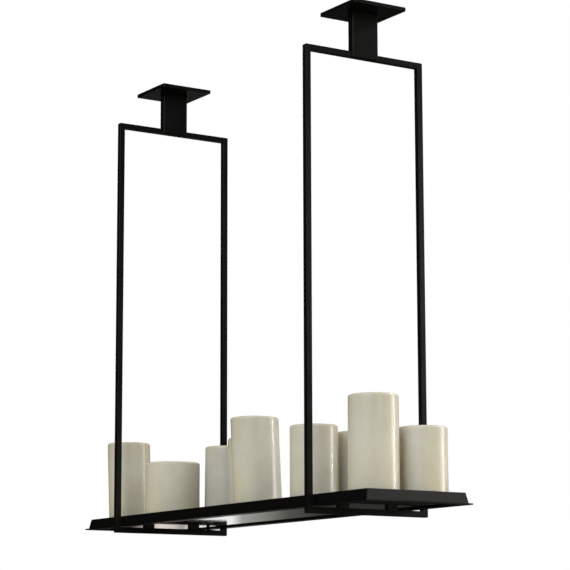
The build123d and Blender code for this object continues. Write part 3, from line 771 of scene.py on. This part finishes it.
def cut(body, tool, operation):
    """Cut one solid by another, which is used up."""
    modifier = body.modifiers.new("cut", "BOOLEAN")
    modifier.operation = operation
    modifier.solver = "EXACT"
    modifier.object = tool
    result = finished(body)
    bpy.data.objects.remove(tool)
    return result


def deck_screw(length):
    """A countersunk screw with a cross recess, head level with z = 0."""
    head = DECK_SCREW_HEAD / 2
    shank = DECK_SCREW_SHANK / 2
    screw = turned("deck_screw_blank", [
        (0.0, 0.0), (head - HEAD_EDGE_WIDTH, 0.0), (head, -HEAD_EDGE_DEPTH), (shank, shank - head),
        (shank, -length), (0.0, -length)], FASTENING_SIDES)
    made = bmesh.new()
    for along_x, along_y in ((RECESS_WIDTH, RECESS_BLADE), (RECESS_BLADE, RECESS_WIDTH)):
        blade = Matrix.Diagonal((along_x, along_y, 2 * RECESS_DEPTH, 1))
        bmesh.ops.create_cube(made, size=1, matrix=blade)
    return cut(screw, mesh_object("recess_tool", made, None, smooth=False), "DIFFERENCE")


def nut_blank(flats, height, bore):
    """A hexagon nut with both ends chamfered and a plain bore, standing on z = 0."""
    across = flats / math.sqrt(3)
    nut = turned("nut_blank", [
        (across, 0.0), (across, height), (bore / 2, height), (bore / 2, 0.0)], HEXAGON)
    corner = across - flats / 2
    face = flats / 2 * CHAMFER_FACE
    wide = face + corner * CHAMFER_REACH
    fall = corner * CHAMFER_FALL
    chamfer = turned("chamfer_tool", [
        (0.0, -CUT_MARGIN), (face, -CUT_MARGIN), (wide, fall),
        (wide, height - fall), (face, height + CUT_MARGIN), (0.0, height + CUT_MARGIN)], CHAMFER_SIDES)
    return cut(nut, chamfer, "INTERSECT")


def threaded_tube(radius, bore, low, high):
    """A threaded tube: rings of thread on the outside, a plain bore inside."""
    root = radius - THREAD_DEPTH
    count = int((high - low) / THREAD_PITCH)
    pitch = (high - low) / count
    outline = [(bore / 2, high), (bore / 2, low), (root, low)]
    for k in range(count):
        outline.append((radius, low + (k + 0.5) * pitch))
        outline.append((root, low + (k + 1) * pitch))
    return turned("thread_blank", outline, FASTENING_SIDES)


screw_low, screw_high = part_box("deck_screws")
screw_run = screw_high.x - screw_low.x - DECK_SCREW_HEAD
screw_columns = round(screw_run / DECK_SCREW_PITCH) + 1
deck_screw_points = [
    (screw_low.x + DECK_SCREW_HEAD / 2 + k * DECK_SCREW_PITCH, y, screw_high.z)
    for k in range(screw_columns)
    for y in (screw_low.y + DECK_SCREW_HEAD / 2, screw_high.y - DECK_SCREW_HEAD / 2)]
deck_screws = repeated("deck_screws_recessed", deck_screw(screw_high.z - screw_low.z), deck_screw_points,
                       OXIDE_BLACK, turn=math.pi / 2, seed=4)
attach(deck_screws, "pendant_frame")
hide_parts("deck_screws")

nipple_low, nipple_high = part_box("hanger_nipples")
nipple_radius = (nipple_high.y - nipple_low.y) / 2
brackets = [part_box(f"ceiling_bracket_{side}") for side in SIDES]
bracket_places = [((low.x + high.x) / 2, 0.0, 0.0) for low, high in brackets]
nipples = repeated("hanger_nipples_threaded",
                   threaded_tube(nipple_radius, NIPPLE_BORE, nipple_low.z, nipple_high.z),
                   bracket_places, ZINC_STEEL)
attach(nipples, "pendant_frame")
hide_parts("hanger_nipples")

lock_low, lock_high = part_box("lock_nuts")
lock_nuts = repeated("lock_nuts_chamfered",
                     nut_blank(LOCK_NUT_FLATS, lock_high.z - lock_low.z, 2 * nipple_radius + LOCK_NUT_PLAY),
                     bracket_places, ZINC_STEEL, turn=math.pi / 3, seed=9)
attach(lock_nuts, "pendant_frame")
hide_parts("lock_nuts")


# ---------------------------------------------------------------- camera
def aim_camera():
    """The photographed viewpoint, below the tray and looking up along it."""
    yaw = math.radians(CAMERA_YAW)
    pitch = math.radians(CAMERA_PITCH)
    roll = math.radians(CAMERA_ROLL)
    look = Vector((-math.sin(yaw) * math.cos(pitch), math.cos(yaw) * math.cos(pitch), math.sin(pitch)))
    right = Vector((math.cos(yaw), math.sin(yaw), 0))
    up = right.cross(look)
    rolled_right = math.cos(roll) * right + math.sin(roll) * up
    rolled_up = -math.sin(roll) * right + math.cos(roll) * up
    camera = placed_in_scene("camera", bpy.data.cameras.new("camera"))
    camera.data.lens = CAMERA_LENS
    camera.data.clip_end = CAMERA_REACH
    turn = Matrix((rolled_right, rolled_up, -look)).transposed().to_4x4()
    camera.matrix_world = Matrix.Translation(CAMERA_PLACE) @ turn
    bpy.context.scene.camera = camera


aim_camera()


# ---------------------------------------------------------------- studio
def studio_light(name, direction, distance, size, power, colour, target, spread):
    """A soft box that faces a target from a direction."""
    away = Vector(direction).normalized()
    light = bpy.data.lights.new(name, "AREA")
    light.shape = "RECTANGLE"
    light.size, light.size_y = size
    light.energy = power
    light.color = colour
    light.spread = spread
    soft_box = placed_in_scene(name, light)
    soft_box.location = Vector(target) + away * distance
    soft_box.rotation_euler = away.to_track_quat("Z", "Y").to_euler()


def background(tree, colour, strength=1.0):
    """A background of one colour or pattern."""
    return node(tree, "ShaderNodeBackground", {"Color": colour, "Strength": strength}).outputs[0]


def make_world():
    """White to the camera, even light for matt surfaces, and a dark room with one bright wall for gloss."""
    world = bpy.data.worlds.new("studio")
    world.use_nodes = True
    world.cycles.sampling_method = "NONE"
    bpy.context.scene.world = world
    tree = world.node_tree
    direction = node(tree, "ShaderNodeTexCoord").outputs["Generated"]
    wall = span(tree, toward(tree, direction, WALL_DIRECTION), WALL_DARK, WALL_BRIGHT, WALL_START, WALL_FULL)
    across = span(tree, toward(tree, direction, VIEW_RIGHT), 0.0, 1.0, PATCHES_LEFT, PATCHES_RIGHT)
    height = node(tree, "ShaderNodeSeparateXYZ", {0: direction}).outputs["Z"]
    band = ramp(tree, span(tree, height, 0.0, 1.0, PATCHES_LOW, PATCHES_HIGH), PATCH_BAND)
    room = blend_colour(tree, band, wall, ramp(tree, across, PATCH_TONES))
    path = node(tree, "ShaderNodeLightPath").outputs
    lit = node(tree, "ShaderNodeMixShader", {
        0: path["Is Glossy Ray"], 1: background(tree, FILL_COLOUR, FILL_STRENGTH), 2: background(tree, room)})
    seen = node(tree, "ShaderNodeMixShader", {
        0: path["Is Camera Ray"], 1: lit.outputs[0], 2: background(tree, WHITE)})
    tree.links.new(seen.outputs[0], tree.nodes["World Output"].inputs["Surface"])


def make_floor():
    """A pale floor that fades into the backdrop towards its edge, and isn't seen from below."""
    material, tree, shader, place = new_material("pale_floor")
    reach = node(tree, "ShaderNodeVectorMath", {0: place}, operation="LENGTH")
    fade = span(tree, reach.outputs["Value"], 1.0, 0.0, FLOOR_FADE_START, FLOOR_FADE_END)
    from_above = math_node(tree, "SUBTRACT", 1.0, node(tree, "ShaderNodeNewGeometry").outputs["Backfacing"])
    feed(tree, shader, {
        "Base Color": ramp(tree, clouds(tree, place, 3.0, 3.0), FLOOR_TONES),
        "Roughness": 0.8,
        "Emission Color": FLOOR_GLOW,
        "Emission Strength": FLOOR_GLOW_STRENGTH,
        "Alpha": math_node(tree, "MULTIPLY", fade, from_above)})
    made = bmesh.new()
    bmesh.ops.create_circle(made, cap_ends=True, radius=FLOOR_RADIUS, segments=FLOOR_SIDES)
    mesh = bpy.data.meshes.new("floor")
    made.to_mesh(mesh)
    made.free()
    mesh.materials.append(material)
    floor = placed_in_scene("floor", mesh)
    floor.location = (0, 0, FLOOR_LEVEL)
    floor.visible_glossy = False
    floor.visible_diffuse = False


for name, settings in STUDIO_LIGHTS.items():
    studio_light(name, **settings)
make_world()
make_floor()
bpy.context.scene.view_settings.view_transform = "Standard"
